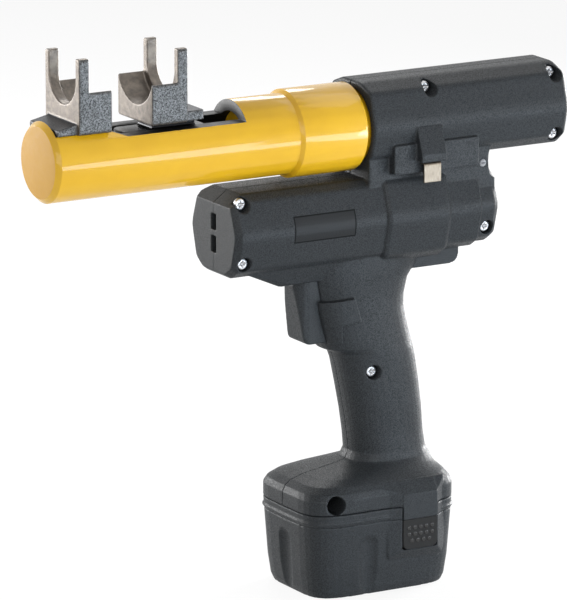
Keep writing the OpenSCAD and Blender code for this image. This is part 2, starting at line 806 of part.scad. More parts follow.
// Motor
module motor_can() {
    color("silver") on_motor_axis() {
        tube(motor_x0, motor_x1, motor_d, motor_d - 2 * can_wall);
        tube(motor_x1 - can_wall, motor_x1, motor_d - can_wall, shaft_d + 2 * run_fit);
    }
}
module motor_magnets() {
    magnet_x0 = motor_x0 + end_cap_l;
    magnet_l = motor_l - 2 * end_cap_l;
    color("dimgray") on_motor_axis() for (side = [0, 180]) rotate([side, 0, 0])
        translate([magnet_x0, 0, 0]) rotate([0, 90, 0])
            rotate([0, 0, 360 * magnet_span_shares[0]])
                rotate_extrude(angle = 360 * (magnet_span_shares[1] - magnet_span_shares[0]))
                    translate([magnet_bore / 2, 0]) square([magnet_t - seat_fit, magnet_l]);
}
module motor_end_cap() {
    color("ivory") on_motor_axis() tube(end_cap_x0, motor_x0, motor_d, shaft_d + 2 * run_fit);
}
module armature() {
    core_x0 = motor_x0 + end_cap_l;
    core_x1 = motor_x1 - end_cap_l;
    color("peru") on_motor_axis() {
        bar(end_cap_x0 - overrun, sun_x1, shaft_d);
        bar(core_x0, core_x1, armature_d);
        bar(core_x0 - end_cap_l / 2, core_x1 + end_cap_l / 2, winding_d);
        bar(motor_x0 + overrun, core_x0, commutator_d);
    }
}
module motor_fan() {
    color("ivory") on_motor_axis() difference() {
        union() {
            bar(fan_x0, fan_x0 + fan_l, fan_hub_d);
            bar(fan_x0, fan_x0 + fan_plate_t, fan_d);
            for (i = [0:fan_blades - 1]) rotate([360 * i / fan_blades, 0, 0])
                translate([fan_x0, -fan_blade_t / 2, 0]) cube([fan_l, fan_blade_t, fan_d / 2 - overrun]);
        }
        bar(fan_x0 - overrun, fan_x0 + fan_l + overrun, shaft_d + 2 * seat_fit);
    }
}

// Planetary gears
module sun_pinion() {
    color("silver") on_motor_axis() difference() {
        cross_cut(sun_x0, sun_x1 - sun_x0)
            polygon(gear_outline(sun_teeth, addendum_share, dedendum_share, -backlash_share * gear_m));
        bar(sun_x0 - overrun, sun_x1 + overrun, shaft_d + 2 * seat_fit);
    }
}
module planet_gear(i) {
    turn = 360 * i / planets;
    half_pitch = 180 / planet_teeth;
    color("darkgray") on_motor_axis() rotate([turn, 0, 0]) translate([0, 0, planet_orbit_r])
        difference() {
            cross_cut(planet_x0, planet_l) rotate(180 + half_pitch) polygon(gear_outline(planet_teeth,
                addendum_share, dedendum_share, -backlash_share * gear_m));
            bar(planet_x0 - overrun, planet_x1 + overrun, planet_pin_d + 2 * run_fit);
        }
}
module planet_gear_1() {
    planet_gear(0);
}
module planet_gear_2() {
    planet_gear(1);
}
module planet_gear_3() {
    planet_gear(2);
}
module ring_gear() {
    color("silver") on_motor_axis() difference() {
        bar(ring_x0, ring_x1, ring_d);
        cross_cut(ring_x0 - overrun, ring_l + 2 * overrun) polygon(gear_outline(ring_teeth,
            dedendum_share, addendum_share, backlash_share * gear_m));
    }
}
module planet_carrier() {
    color("slategray") on_motor_axis() {
        bar(carrier_x0, carrier_x1, carrier_d);
        for (i = [0:planets - 1]) rotate([360 * i / planets, 0, 0]) translate([0, 0, planet_orbit_r])
            bar(planet_x0, carrier_x0 + overrun, planet_pin_d);
        bar(carrier_x1 - overrun, carrier_x1 + journal_l, journal_d);
        bar(carrier_x1, eccentric_x0 + overrun, neck_shaft_d);
        translate([0, 0, eccentricity]) bar(eccentric_x0, eccentric_x1, eccentric_d);
        bar(eccentric_x1 - overrun, eccentric_x1 + tail_gap + tail_l, tail_d);
    }
}
module carrier_bearing() {
    color("gainsboro") on_motor_axis()
        tube(bearing_x0, bearing_x0 + bearing_w, bearing_d, journal_d + 2 * run_fit);
}
module eccentric_bearing() {
    color("gainsboro") on_motor_axis() translate([0, 0, eccentricity])
        tube(eccentric_x0 + overrun, eccentric_x1 - overrun, eccentric_bearing_d,
            eccentric_d + 2 * seat_fit);
}
module tail_bush() {
    color("peru") on_motor_axis() tube(eccentric_x1 + tail_gap, eccentric_x1 + tail_gap + tail_l - overrun,
        tail_bush_d, tail_d + 2 * run_fit);
}

// Outer forms of the housing
module barrel_form() {
    outline = mirrored_outline(barrel_outline_shares, barrel_w / 2, barrel_w / 2);
    half_w = barrel_w / 2;
    loft([x_ring(outline, mouth_x, 1 - barrel_mouth_round / half_w, axis_z),
        x_ring(outline, mouth_x + barrel_mouth_round, 1, axis_z),
        x_ring(outline, tool_l - barrel_round, 1, axis_z),
        x_ring(outline, tool_l - barrel_round / 2, 1 - barrel_round / half_w / 4, axis_z),
        x_ring(outline, tool_l, 1 - barrel_round / half_w, axis_z)]);
}
module pod_form() {
    outline = mirrored_outline(pod_outline_shares, pod_w / 2, pod_h / 2);
    tail_x0 = collar_x1 + tail_step_l;
    loft([x_ring(outline, pod_x0, pod_face_share, pod_z),
        x_ring(outline, pod_x0 + pod_face_round, 1, pod_z),
        x_ring(outline, collar_x1, 1, pod_z),
        x_ring(outline, collar_x1 + overrun, tail_step_share, pod_z),
        x_ring(outline, tail_x0, tail_step_share, pod_z),
        x_ring(outline, tail_x0 + overrun, tail_cap_share, pod_z),
        x_ring(outline, pod_x1 - tail_round, tail_cap_share, pod_z),
        x_ring(outline, pod_x1, tail_cap_share - tail_round / pod_h, pod_z)]);
}
module collar_form() {
    outline = mirrored_outline(pod_outline_shares, pod_w / 2 + collar_proud, pod_h / 2 + collar_proud);
    eased_share = 1 - collar_proud / pod_w;
    loft([x_ring(outline, collar_x0, eased_share, pod_z),
        x_ring(outline, collar_x0 + collar_proud, 1, pod_z),
        x_ring(outline, collar_x1 - collar_proud, 1, pod_z),
        x_ring(outline, collar_x1, eased_share, pod_z)]);
}
module web_form() {
    web_z = (axis_z + pod_z) / 2 + overrun;
    rear = [for (i = [0:2 * corner_steps]) let (t = 90 + 90 * i / corner_steps)
        [pod_x1 - overrun + web_rear_r * cos(t), web_z + web_gap_share * axis_gap / 2 * sin(t)]];
    side_cut(concat([[mouth_x, axis_z], [mouth_x, pod_z], [pod_x1 - overrun, pod_z]],
        [for (i = [2 * corner_steps:-1:0]) rear[i]], [[pod_x1 - overrun, axis_z]]), web_w);
    hull() for (x = [plate_x0, plate_x1], z = [plate_z0, plate_z1]) translate([x, 0, z])
        rotate([90, 0, 0]) cylinder(h = plate_w, d = wall, center = true, $fn = ring_sides / 2);
}
module grip_form() {
    loft(concat(
        [for (s = foot_shares) let (mid = foot_x + s[4] * (grip_x - foot_x), half = s[1] * foot_l / 2)
            z_ring(foot_z + s[0] * foot_h, mid - half, mid + half, s[2] * foot_w / 2, s[3])],
        [for (s = grip_shares) z_ring(grip_z + s[0] * grip_h, grip_x + s[1] * grip_d,
            grip_x + s[2] * grip_d, s[3] * grip_w / 2, grip_squareness)]));
}
module pads_form() {
    front_x = trigger_x0;
    low_x1 = pad_x1 - low_pad_set;
    low_z1 = pad_z1 - pad_h;
    intersection() {
        loft([for (s = grip_shares) z_ring(grip_z + s[0] * grip_h, grip_x + s[1] * grip_d,
            grip_x + s[2] * grip_d, s[3] * grip_w / 2 + pad_proud, pad_squareness)]);
        side_cut([[front_x, pad_z1 - pad_dip], [pad_x1, pad_z1], [pad_x1 + pad_lean, low_z1],
            [low_x1, low_z1 - pad_dip / 2], [low_x1 + low_pad_lean, low_z1 - low_pad_h],
            [front_x, low_z1 - low_pad_h - pad_dip]], 2 * grip_w);
    }
}
module details_form() {
    belly_top = pod_bottom_z + wall;
    belly_rear_z = trigger_top_z + pocket_gap;
    hull() {
        translate([belly_x0, 0, belly_top]) cube([overrun, belly_w, overrun], center = true);
        translate([belly_x1 - belly_r, 0, belly_top - belly_drop]) rotate([90, 0, 0])
            cylinder(h = belly_low_w - belly_r, r = belly_r, center = true, $fn = ring_sides / 2);
        translate([belly_x1, -belly_low_w / 2, belly_rear_z])
            cube([trigger_rear_x - belly_x1, belly_low_w, overrun]);
        translate([belly_x1, -belly_w / 2, belly_top - overrun])
            cube([trigger_rear_x - belly_x1, belly_w, overrun]);
    }
    hull() for (dx = [stub_r, stub_l - stub_r], dz = [stub_r - stub_drop, overrun])
        translate([stub_x0 + dx, 0, pod_bottom_z + dz]) rotate([90, 0, 0])
            cylinder(h = stub_w, r = stub_r, center = true, $fn = ring_sides / 2);
    for (side = [0, 1]) mirror([0, side, 0]) tongue_form();
}
module tongue_form() {
    tongue_z0 = latch_z1 + end_gap;
    lean_rise = tongue_h / 2 / tongue_lean;
    cross_cut(latch_x - latch_l / 2, latch_l) polygon([
        [tongue_y - tongue_t, tongue_z0], [tongue_y, tongue_z0], [tongue_y, foot_z + tongue_h / 2],
        [tongue_y - tongue_lean, foot_z + tongue_h], [tongue_y - 2 * tongue_t, foot_z + tongue_h],
        [tongue_y - 2 * tongue_t, foot_z], [tongue_y - tongue_t, foot_z]]);
    intersection() {
        latch_panel(foot_z, foot_z + tongue_h);
        cross_cut(latch_x - latch_l - latch_pad_l, 2 * latch_l + latch_pad_l + latch_pad_r) polygon([
            [0, foot_z - overrun], [latch_panel_y + overrun, foot_z - overrun],
            [latch_panel_y + overrun, foot_z + tongue_h / 2 - overrun * lean_rise],
            [latch_panel_y - tongue_lean, foot_z + tongue_h],
            [latch_panel_y - tongue_lean, foot_z + tongue_h + overrun], [0, foot_z + tongue_h + overrun]]);
    }
}
module ramp_form() {
    inner_y = -barrel_w / 4;
    outer_y = -barrel_w / 2 - ramp_proud;
    cross_cut(ramp_x0, ramp_w) polygon([[inner_y, ramp_bottom_z], [inner_y, ramp_top_z],
        [-barrel_w / 2, ramp_top_z], [outer_y, ramp_bottom_z + ramp_foot_t], [outer_y, ramp_bottom_z]]);
}

// Hollows of the housing, each from the piece that lies in it
module press_pockets() {
    on_press_axis() {
        bar(mouth_x - overrun, neck_x1 + pocket_gap, neck_d + 2 * pocket_gap);
        bar(mouth_x - overrun, mouth_x + mouth_depth, mouth_d);
        bar(neck_x1, block_x1 + bladder_neck_l, block_d + 2 * pocket_gap);
        bar(block_x1, bladder_x1 + pocket_gap, bladder_d + 2 * pocket_gap);
        translate([plunger_x, 0, -axis_gap / 2]) cube([block_boss_w + 2 * pocket_gap,
            block_boss_w + 2 * pocket_gap, axis_gap], center = true);
    }
}
module drive_pockets() {
    on_motor_axis() {
        bar(pod_x0 + pod_front_t, end_cap_x0, winding_d);
        bar(end_cap_x0 - end_gap, motor_x1 + end_gap, motor_d + 2 * pocket_gap);
        bar(motor_x1, ring_x0, fan_d + 2 * overrun);
        bar(ring_x0 - end_gap, ring_x1 + end_gap, ring_d + 2 * pocket_gap);
        bar(ring_x1, bearing_x0, carrier_d + 2 * overrun);
        bar(bearing_x0 - end_gap, bearing_x0 + bearing_w + end_gap, bearing_d + 2 * pocket_gap);
        bar(bearing_x0, eccentric_x0, journal_d + 2 * overrun);
        bar(eccentric_x0 - overrun, eccentric_x1 + tail_gap,
            eccentric_bearing_d + 2 * eccentricity + 2 * overrun);
        bar(eccentric_x1, eccentric_x1 + tail_gap + tail_l + pocket_gap, tail_bush_d + 2 * pocket_gap);
        for (side = [-1, 1]) translate([pod_x0, 0, side * (vent_l + vent_gap) / 2])
            cube([4 * pod_front_t, vent_w, vent_l], center = true);
        side_cut([[pod_x0, pod_h / 2 - pod_brow_drop], [pod_x0 + pod_brow_l, pod_h / 2],
            [pod_x0 + pod_brow_l, pod_h / 2 + overrun], [pod_x0 - overrun, pod_h / 2 + overrun],
            [pod_x0 - overrun, pod_h / 2 - pod_brow_drop]], pod_w + 2 * overrun);
    }
}
module grip_pockets() {
    on_floor() {
        translate([trigger_x0 - trigger_rake, -trigger_w / 2 - pocket_gap,
            trigger_top_z - trigger_h - pocket_gap])
            cube([trigger_rear_x + trigger_travel + overrun - trigger_x0 + trigger_rake,
                trigger_w + 2 * pocket_gap, trigger_h + 2 * pocket_gap]);
        translate([switch_x0 - overrun, -switch_w / 2 - pocket_gap, switch_z0 - pocket_gap])
            cube([switch_l + overrun + pocket_gap, switch_w + 2 * pocket_gap, switch_h + 2 * pocket_gap]);
        loft([for (z = [foot_z - overrun, contact_z0 + end_gap]) z_ring(z, grip_x - stem_l / 2 - stem_gap,
            grip_x + stem_l / 2 + stem_gap, stem_w / 2 + stem_gap, stem_squareness)]);
        translate([grip_x - contact_l / 2 - pocket_gap, -contact_w / 2 - pocket_gap, contact_z0])
            cube([contact_l + 2 * pocket_gap, contact_w + 2 * pocket_gap, contact_h + end_gap]);
        translate([grip_x - board_l / 2 - pocket_gap, -board_part_t - pocket_gap, contact_z0])
            cube([board_l + 2 * pocket_gap, 2 * board_part_t + 2 * pocket_gap,
                board_z0 + board_h + end_gap - contact_z0]);
    }
}
module screw_pockets() {
    on_floor() for (s = SCREWS) translate([s[0], -s[2], s[1]]) rotate([90, 0, 0]) {
        cylinder(h = pod_w, d = s[3], $fn = ring_sides / 2);
        translate([0, 0, -s[2] - screw_reach]) cylinder(h = s[2] + screw_reach + overrun, d = screw_hole_d,
            $fn = ring_sides / 2);
    }
}
module housing_form() {
    barrel_form();
    pod_form();
    collar_form();
    web_form();
    grip_form();
    pads_form();
    details_form();
}
module half_space(side) {
    translate([-tool_l, side > 0 ? 0 : -tool_l, -tool_l / 2]) cube([2 * tool_l, tool_l, 2 * tool_l]);
}
module left_housing() {
    color("#3a3e42") difference() {
        on_floor() {
            housing_form();
            ramp_form();
        }
        press_pockets();
        drive_pockets();
        grip_pockets();
        screw_pockets();
        half_space(1);
    }
}
module right_housing() {
    color("#3a3e42") difference() {
        on_floor() housing_form();
        press_pockets();
        drive_pockets();
        grip_pockets();
        screw_pockets();
        half_space(-1);
    }
}

// Fasteners and clip
module housing_screws() {
    color("silver") on_floor() for (s = SCREWS) translate([s[0], -s[2], s[1]]) rotate([90, 0, 0]) {
        translate([0, 0, end_gap]) cylinder(h = screw_head_l, d = screw_head_d);
        translate([0, 0, -s[2] - screw_reach + overrun])
            cylinder(h = s[2] + screw_reach, d = screw_d);
    }
}
module strap_clip() {
    inner_y = -plate_w / 2 - end_gap;
    outer_y = inner_y - clip_proud;
    top_z = ramp_bottom_z - end_gap;
    color("gainsboro") on_floor() cross_cut(clip_x - clip_w / 2, clip_w) polygon(rounded([
        [inner_y, top_z, end_gap], [outer_y, top_z, clip_bend_r], [outer_y, top_z - clip_h, end_gap],
        [outer_y + clip_t, top_z - clip_h, end_gap], [outer_y + clip_t, top_z - clip_t, clip_bend_r / 3],
        [inner_y, top_z - clip_t, end_gap]]));
}

// Trigger with its spring and switch
module trigger() {
    bottom_z = trigger_top_z - trigger_h;
    color("#3a3e42") on_floor() difference() {
        intersection() {
            side_cut(rounded([[trigger_x0, trigger_top_z, trigger_round / 3],
                [trigger_x0 + trigger_rake, bottom_z, trigger_round / 2],
                [trigger_rear_x, bottom_z, overrun], [trigger_rear_x, trigger_top_z, overrun]]), trigger_w);
            translate([0, 0, bottom_z - overrun]) linear_extrude(height = trigger_h + 2 * overrun)
                polygon(rounded([[trigger_x0, -trigger_w / 2, trigger_round],
                    [trigger_rear_x + overrun, -trigger_w / 2, overrun],
                    [trigger_rear_x + overrun, trigger_w / 2, overrun],
                    [trigger_x0, trigger_w / 2, trigger_round]]));
        }
        translate([0, 0, trigger_top_z - trigger_h / 2]) bar(trigger_rear_x - trigger_spring_hole_l,
            trigger_rear_x + overrun, trigger_spring_hole_d);
    }
}
module trigger_spring() {
    spring_x0 = trigger_rear_x - trigger_spring_hole_l + end_gap;
    color("silver") on_floor() translate([spring_x0, 0, trigger_top_z - trigger_h / 2]) rotate([0, 90, 0])
        coil(trigger_spring_d, trigger_wire_d, switch_x0 - end_gap - spring_x0, trigger_turns);
}
module trigger_switch() {
    color("black") on_floor() translate([switch_x0, -switch_w / 2, switch_z0])
        cube([switch_l, switch_w, switch_h]);
}
module control_board() {
    color("seagreen") on_floor() translate([grip_x - board_l / 2, 0, board_z0]) {
        translate([0, -board_t / 2, 0]) cube([board_l, board_t, board_h]);
        for (dx = [overrun, board_l - overrun - board_part_l]) translate([dx, 0, board_h / 3])
            cube([board_part_l, board_part_t, board_part_l]);
    }
}
module contact_block() {
    color("dimgray") on_floor() translate([grip_x - contact_l / 2, -contact_w / 2, contact_z0])
        cube([contact_l, contact_w, contact_h]);
}

// Battery
function battery_ring(z, share) =
    let (half_l = share * foot_l / 2, half_w = share * foot_w / 2)
    z_ring(z, foot_x - half_l, foot_x + half_l, half_w, battery_squareness);
function battery_share(z) = battery_base_share + (1 - battery_base_share) * z / battery_h;
module battery_case() {
    inner_share = 2 * battery_wall / foot_w;
    color("#3a3e42") on_floor() difference() {
        union() {
            loft([battery_ring(0, battery_edge_share),
                battery_ring(battery_edge_r / 4, (battery_edge_share + 3 * battery_base_share) / 4),
                battery_ring(battery_edge_r, battery_share(battery_edge_r)),
                battery_ring(case_h, battery_share(case_h))]);
            for (side = [0, 1]) mirror([0, side, 0]) latch_pad();
        }
        difference() {
            loft([battery_ring(battery_wall, battery_base_share - inner_share),
                battery_ring(case_h + overrun, battery_share(case_h) - inner_share)]);
            for (side = [-1, 1]) latch_boss(side);
        }
        for (side = [-1, 1]) latch_window(side);
        flutes();
    }
}
module latch_boss(side) {
    boss_l = latch_l + 2 * latch_boss_rim;
    boss_z0 = latch_z0 - latch_boss_rim;
    translate([latch_x - boss_l / 2, side > 0 ? latch_face_y - latch_boss_t : -latch_face_y - overrun,
        boss_z0]) cube([boss_l, latch_boss_t + overrun, case_h - boss_z0]);
}
module latch_window(side) {
    depth = latch_t + latch_spring_l;
    translate([latch_x - latch_l / 2 - slide_gap, side > 0 ? latch_face_y - depth : -latch_face_y - overrun,
        latch_z0 - slide_gap]) cube([latch_l + 2 * slide_gap, depth + overrun,
            case_h - latch_z0 + slide_gap + overrun]);
}
module flute(h) {
    cylinder(h = h, r = flute_r);
    translate([0, 0, h]) sphere(r = flute_r);
}
module latch_panel(z0, z1) {
    left_x = latch_x - latch_l / 2;
    right_x = latch_x + latch_l / 2;
    base_y = foot_w / 2 - latch_pad_sink;
    translate([0, 0, z0]) linear_extrude(height = z1 - z0) polygon([
        [left_x - latch_pad_l, base_y - battery_wall], [right_x + latch_pad_r, base_y - battery_wall],
        [right_x + latch_pad_r, base_y], [right_x, latch_panel_y], [left_x, latch_panel_y],
        [left_x - latch_pad_l, base_y]]);
}
module latch_pad() {
    pad_x0 = latch_x - latch_l / 2 - latch_pad_set;
    pad_x1 = latch_x + latch_l / 2 + latch_pad_r;
    low_z = latch_z0 - latch_pad_h;
    low_y = battery_share(low_z) * foot_w / 2 - overrun;
    high_y = 2 * latch_panel_y - low_y;
    intersection() {
        latch_panel(low_z, case_h);
        cross_cut(pad_x0 - overrun, pad_x1 - pad_x0 + 2 * overrun) polygon([[0, low_z - overrun],
            [low_y, low_z - overrun], [low_y, low_z], [high_y, low_z + 2 * latch_pad_h],
            [high_y, case_h + overrun], [0, case_h + overrun]]);
        side_cut(rounded([[pad_x0, low_z, latch_pad_round], [pad_x1, low_z, latch_pad_round],
            [pad_x1, case_h + 2 * overrun, overrun], [pad_x0, case_h + 2 * overrun, overrun]]), 2 * foot_w);
    }
}
module flutes() {
    lean = atan((1 - battery_base_share) * foot_w / 2 / battery_h);
    flute_h = case_h * flute_top_share - flute_cap_l;
    set = flute_r - flute_depth;
    for (side = [-1, 1]) {
        translate([foot_x - foot_l * flute_place_share, side * (foot_w / 2 * battery_base_share + set),
            -overrun])
            rotate([-side * lean, 0, 0]) flute(flute_h);
        translate([foot_x + side * (foot_l / 2 * battery_base_share + set), 0, -overrun])
            rotate([0, side * lean, 0]) flute(flute_h);
    }
}
module battery_cover() {
    bead_z = case_h + bead_set;
    bead_share = bead_proud / foot_l;
    color("#3a3e42") on_floor() difference() {
        union() {
            loft([battery_ring(case_h, battery_share(case_h)), battery_ring(battery_h, 1)]);
            loft([battery_ring(bead_z, battery_share(bead_z) - bead_share),
                battery_ring(bead_z + bead_h / 3, 1 + bead_share),
                battery_ring(bead_z + 2 * bead_h / 3, 1 + bead_share),
                battery_ring(bead_z + bead_h, battery_share(bead_z + bead_h) - bead_share)]);
            loft([for (z = [battery_h - overrun, foot_z + stem_h - seam_gap]) z_ring(z, grip_x - stem_l / 2,
                grip_x + stem_l / 2, stem_w / 2, stem_squareness)]);
            for (side = [0, 1]) mirror([0, side, 0]) latch_panel(case_h, battery_h);
        }
        translate([foot_x - cell_l / 2 - overrun, -cell_pitch - overrun, case_h - overrun])
            cube([cell_l + 2 * overrun, 2 * cell_pitch + 2 * overrun, cover_recess_z - case_h + overrun]);
        for (side = [-1, 1]) translate([latch_x, side * (tongue_y - slide_gap), case_h])
            cube([latch_l + 2 * slide_gap, 2 * tongue_t, 4 * (battery_h - case_h)], center = true);
    }
}
module battery_cells() {
    color("royalblue") on_floor() for (row = [0:cell_rows - 1], side = [-1, 1])
        translate([0, side * cell_pitch / 2, battery_wall + cell_gap + cell_d / 2 + row * cell_pitch])
            bar(foot_x - cell_l / 2, foot_x + cell_l / 2, cell_d);
}

// Latch buttons with their springs, pressed in along Y
module latch_button(side) {
    mid = (len(latch_dot_rows) - 1) / 2;
    color("black") on_floor() translate([latch_x, side * (latch_face_y - latch_t), latch_z0])
        rotate([90, 0, side > 0 ? 180 : 0]) {
            linear_extrude(height = latch_t) polygon(rounded([[-latch_l / 2, 0, latch_round],
                [latch_l / 2, 0, latch_round], [latch_l / 2, latch_h, overrun / 2],
                [-latch_l / 2, latch_h, overrun / 2]]));
            for (r = [0:len(latch_dot_rows) - 1], i = [0:latch_dot_rows[r] - 1])
                translate([(i - (latch_dot_rows[r] - 1) / 2) * latch_dot_pitch,
                    latch_h / 2 + (r - mid) * latch_dot_pitch, 0])
                    cylinder(h = latch_t + latch_dot_h, d = latch_dot_d);
        }
}
module left_latch_button() {
    latch_button(-1);
}
module right_latch_button() {
    latch_button(1);
}
module latch_spring(side) {
    color("silver") on_floor() translate([latch_x, side * (latch_face_y - latch_t - end_gap),
        (latch_z0 + latch_z1) / 2]) rotate([side * 90, 0, 0])
            coil(latch_spring_d, latch_wire_d, latch_spring_l - 2 * end_gap, latch_turns);
}
module left_latch_spring() {
    latch_spring(-1);
}
module right_latch_spring() {
    latch_spring(1);
}

left_housing();
right_housing();
press_frame();
fixed_head();
moving_head();
head_carriage();
piston_rod();
piston();
piston_seal();
piston_nut();
rod_gland();
return_spring();
pump_block();
relief_valve();
pump_plunger();
plunger_spring();
oil_bladder();
motor_can();
motor_magnets();
motor_end_cap();
armature();
motor_fan();
sun_pinion();
planet_gear_1();
planet_gear_2();
planet_gear_3();
ring_gear();
planet_carrier();
carrier_bearing();
eccentric_bearing();
tail_bush();
housing_screws();
strap_clip();
trigger();
trigger_spring();
trigger_switch();
control_board();
contact_block();
battery_case();
battery_cover();
battery_cells();
left_latch_button();
right_latch_button();
left_latch_spring();
right_latch_spring();
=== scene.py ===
"""Looks of a cordless axial press tool: moulded housing, painted press frame, cast heads, battery."""
import json
import math

import bpy
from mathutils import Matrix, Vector
from mathutils.bvhtree import BVHTree


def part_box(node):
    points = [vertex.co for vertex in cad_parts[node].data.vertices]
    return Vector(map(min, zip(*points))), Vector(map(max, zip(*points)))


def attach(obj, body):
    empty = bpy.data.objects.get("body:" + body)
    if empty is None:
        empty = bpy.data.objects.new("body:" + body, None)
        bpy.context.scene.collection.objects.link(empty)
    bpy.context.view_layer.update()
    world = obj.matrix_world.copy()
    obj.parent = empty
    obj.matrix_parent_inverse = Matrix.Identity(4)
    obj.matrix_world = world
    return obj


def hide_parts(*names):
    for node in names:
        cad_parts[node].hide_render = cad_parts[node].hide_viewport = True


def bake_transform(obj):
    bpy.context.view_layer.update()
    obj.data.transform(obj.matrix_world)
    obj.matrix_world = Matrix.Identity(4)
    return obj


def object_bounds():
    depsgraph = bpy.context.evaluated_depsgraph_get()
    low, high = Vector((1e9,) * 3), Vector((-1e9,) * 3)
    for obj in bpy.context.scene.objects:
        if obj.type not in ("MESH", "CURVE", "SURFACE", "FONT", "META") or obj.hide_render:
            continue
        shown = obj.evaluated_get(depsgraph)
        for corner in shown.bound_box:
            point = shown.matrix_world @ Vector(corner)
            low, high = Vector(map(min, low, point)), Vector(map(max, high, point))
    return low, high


MM = 0.001

# Camera of the photograph, in the row frame
AZIMUTH = math.radians(-30)
ELEVATION = math.radians(13.7)
TARGET = Vector((-3.775, 7.740, 149.856)) * MM
DISTANCE = 3.035
LENS_MM = 360
SENSOR_MM = 36

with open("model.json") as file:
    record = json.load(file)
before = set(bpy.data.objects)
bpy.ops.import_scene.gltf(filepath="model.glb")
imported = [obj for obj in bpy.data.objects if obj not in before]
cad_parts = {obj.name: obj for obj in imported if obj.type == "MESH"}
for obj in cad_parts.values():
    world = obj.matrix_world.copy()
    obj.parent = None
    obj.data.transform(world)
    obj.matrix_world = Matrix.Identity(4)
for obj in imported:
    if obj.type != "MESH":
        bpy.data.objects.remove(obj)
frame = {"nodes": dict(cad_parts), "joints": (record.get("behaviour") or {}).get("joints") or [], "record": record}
cad_low, cad_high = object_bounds()
nodes = frame["nodes"]

# Places taken from the frame
frame_low, frame_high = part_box("press_frame")
pod_low, pod_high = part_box("motor_can")
NOSE_X = frame_low.x
PRESS_Z = (frame_low.z + frame_high.z) / 2
POD_Z = (pod_low.z + pod_high.z) / 2

# Ends of the wedges, where the heads' forks begin
WEDGE_L = 10.4 * MM
EASE = 0.3 * MM
FIXED_WEDGE_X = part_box("fixed_head")[0].x + WEDGE_L
MOVING_WEDGE_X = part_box("moving_head")[1].x - WEDGE_L


class Graph:
    """A material's node tree, with short calls to add and join nodes."""

    def __init__(self, name):
        self.material = bpy.data.materials.new(name)
        self.material.use_nodes = True
        self.tree = self.material.node_tree
        self.shader = self.tree.nodes["Principled BSDF"]

    def feed(self, socket, value):
        """Links a socket to another node's output, or sets it to a constant."""
        if isinstance(value, bpy.types.NodeSocket):
            self.tree.links.new(value, socket)
        else:
            socket.default_value = value

    def add(self, kind, inputs=(), **settings):
        node = self.tree.nodes.new(kind)
        for key, value in settings.items():
            setattr(node, key, value)
        for key, value in dict(inputs).items():
            self.feed(node.inputs[key], value)
        return node

    def set(self, **values):
        """Sets or links the shader's sockets, named with underscores for spaces."""
        for key, value in values.items():
            self.feed(self.shader.inputs[key.replace("_", " ")], value)

    def place(self, stretch=(1, 1, 1)):
        """The object's own coordinates, in metres, squeezed along each axis."""
        coordinates = self.add("ShaderNodeTexCoord")
        mapping = self.add("ShaderNodeMapping", {"Vector": coordinates.outputs["Object"]})
        mapping.inputs["Scale"].default_value = stretch
        return mapping.outputs["Vector"]

    def noise(self, grain, detail=3.0, stretch=(1, 1, 1)):
        """Noise whose features are about grain metres wide."""
        node = self.add("ShaderNodeTexNoise", {"Vector": self.place(stretch), "Scale": 1 / grain,
                                               "Detail": detail})
        return node.outputs["Fac"]

    def cells(self, grain):
        node = self.add("ShaderNodeTexVoronoi", {"Vector": self.place(), "Scale": 1 / grain})
        return node.outputs["Distance"]

    def bands(self, width, direction):
        node = self.add("ShaderNodeTexWave", {"Vector": self.place(), "Scale": 1 / (width * 20)},
                        bands_direction=direction)
        return node.outputs["Fac"]

    def edges(self, low, high):
        """0 on flat and hollow places, 1 on outward edges."""
        geometry = self.add("ShaderNodeNewGeometry")
        return self.spread(geometry.outputs["Pointiness"], low, high, 0.0, 1.0)

    def along(self, axis):
        """The object's own coordinate along X, Y or Z, in metres."""
        split = self.add("ShaderNodeSeparateXYZ", {"Vector": self.place()})
        return split.outputs[axis]

    def maths(self, operation, first, second=0.0):
        return self.add("ShaderNodeMath", {0: first, 1: second}, operation=operation).outputs[0]

    def times(self, first, second):
        return self.maths("MULTIPLY", first, second)

    def off(self, axis, middle):
        """Distance from a place on the axis, in metres."""
        return self.maths("ABSOLUTE", self.maths("SUBTRACT", self.along(axis), middle))

    def field(self, middle, half_l, half_h):
        """Signed distance from the edge of a rectangle seen along Y: below zero inside."""
        return self.maths("MAXIMUM", self.maths("SUBTRACT", self.off("X", middle[0]), half_l),
                          self.maths("SUBTRACT", self.off("Z", middle[1]), half_h))

    def outward(self, axis):
        """How far out a place is along the axis, times how much its surface faces outwards there."""
        coordinates = self.add("ShaderNodeTexCoord")
        split = self.add("ShaderNodeSeparateXYZ", {"Vector": coordinates.outputs["Normal"]})
        return self.times(split.outputs[axis], self.along(axis))

    def spread(self, value, low, high, start, end):
        """Maps the range from low to high onto the range from start to end."""
        node = self.add("ShaderNodeMapRange", {"Value": value, "From Min": low, "From Max": high,
                                               "To Min": start, "To Max": end})
        return node.outputs["Result"]

    def mix(self, factor, first, second):
        node = self.add("ShaderNodeMix", data_type="RGBA")
        for socket, value in ((node.inputs[0], factor), (node.inputs[6], first), (node.inputs[7], second)):
            self.feed(socket, value)
        return node.outputs[2]

    def bump(self, height, depth):
        return self.add("ShaderNodeBump", {"Height": height, "Distance": depth}).outputs["Normal"]


def shade(grey, tint=(1, 1, 1)):
    return tuple(grey * t for t in tint) + (1,)


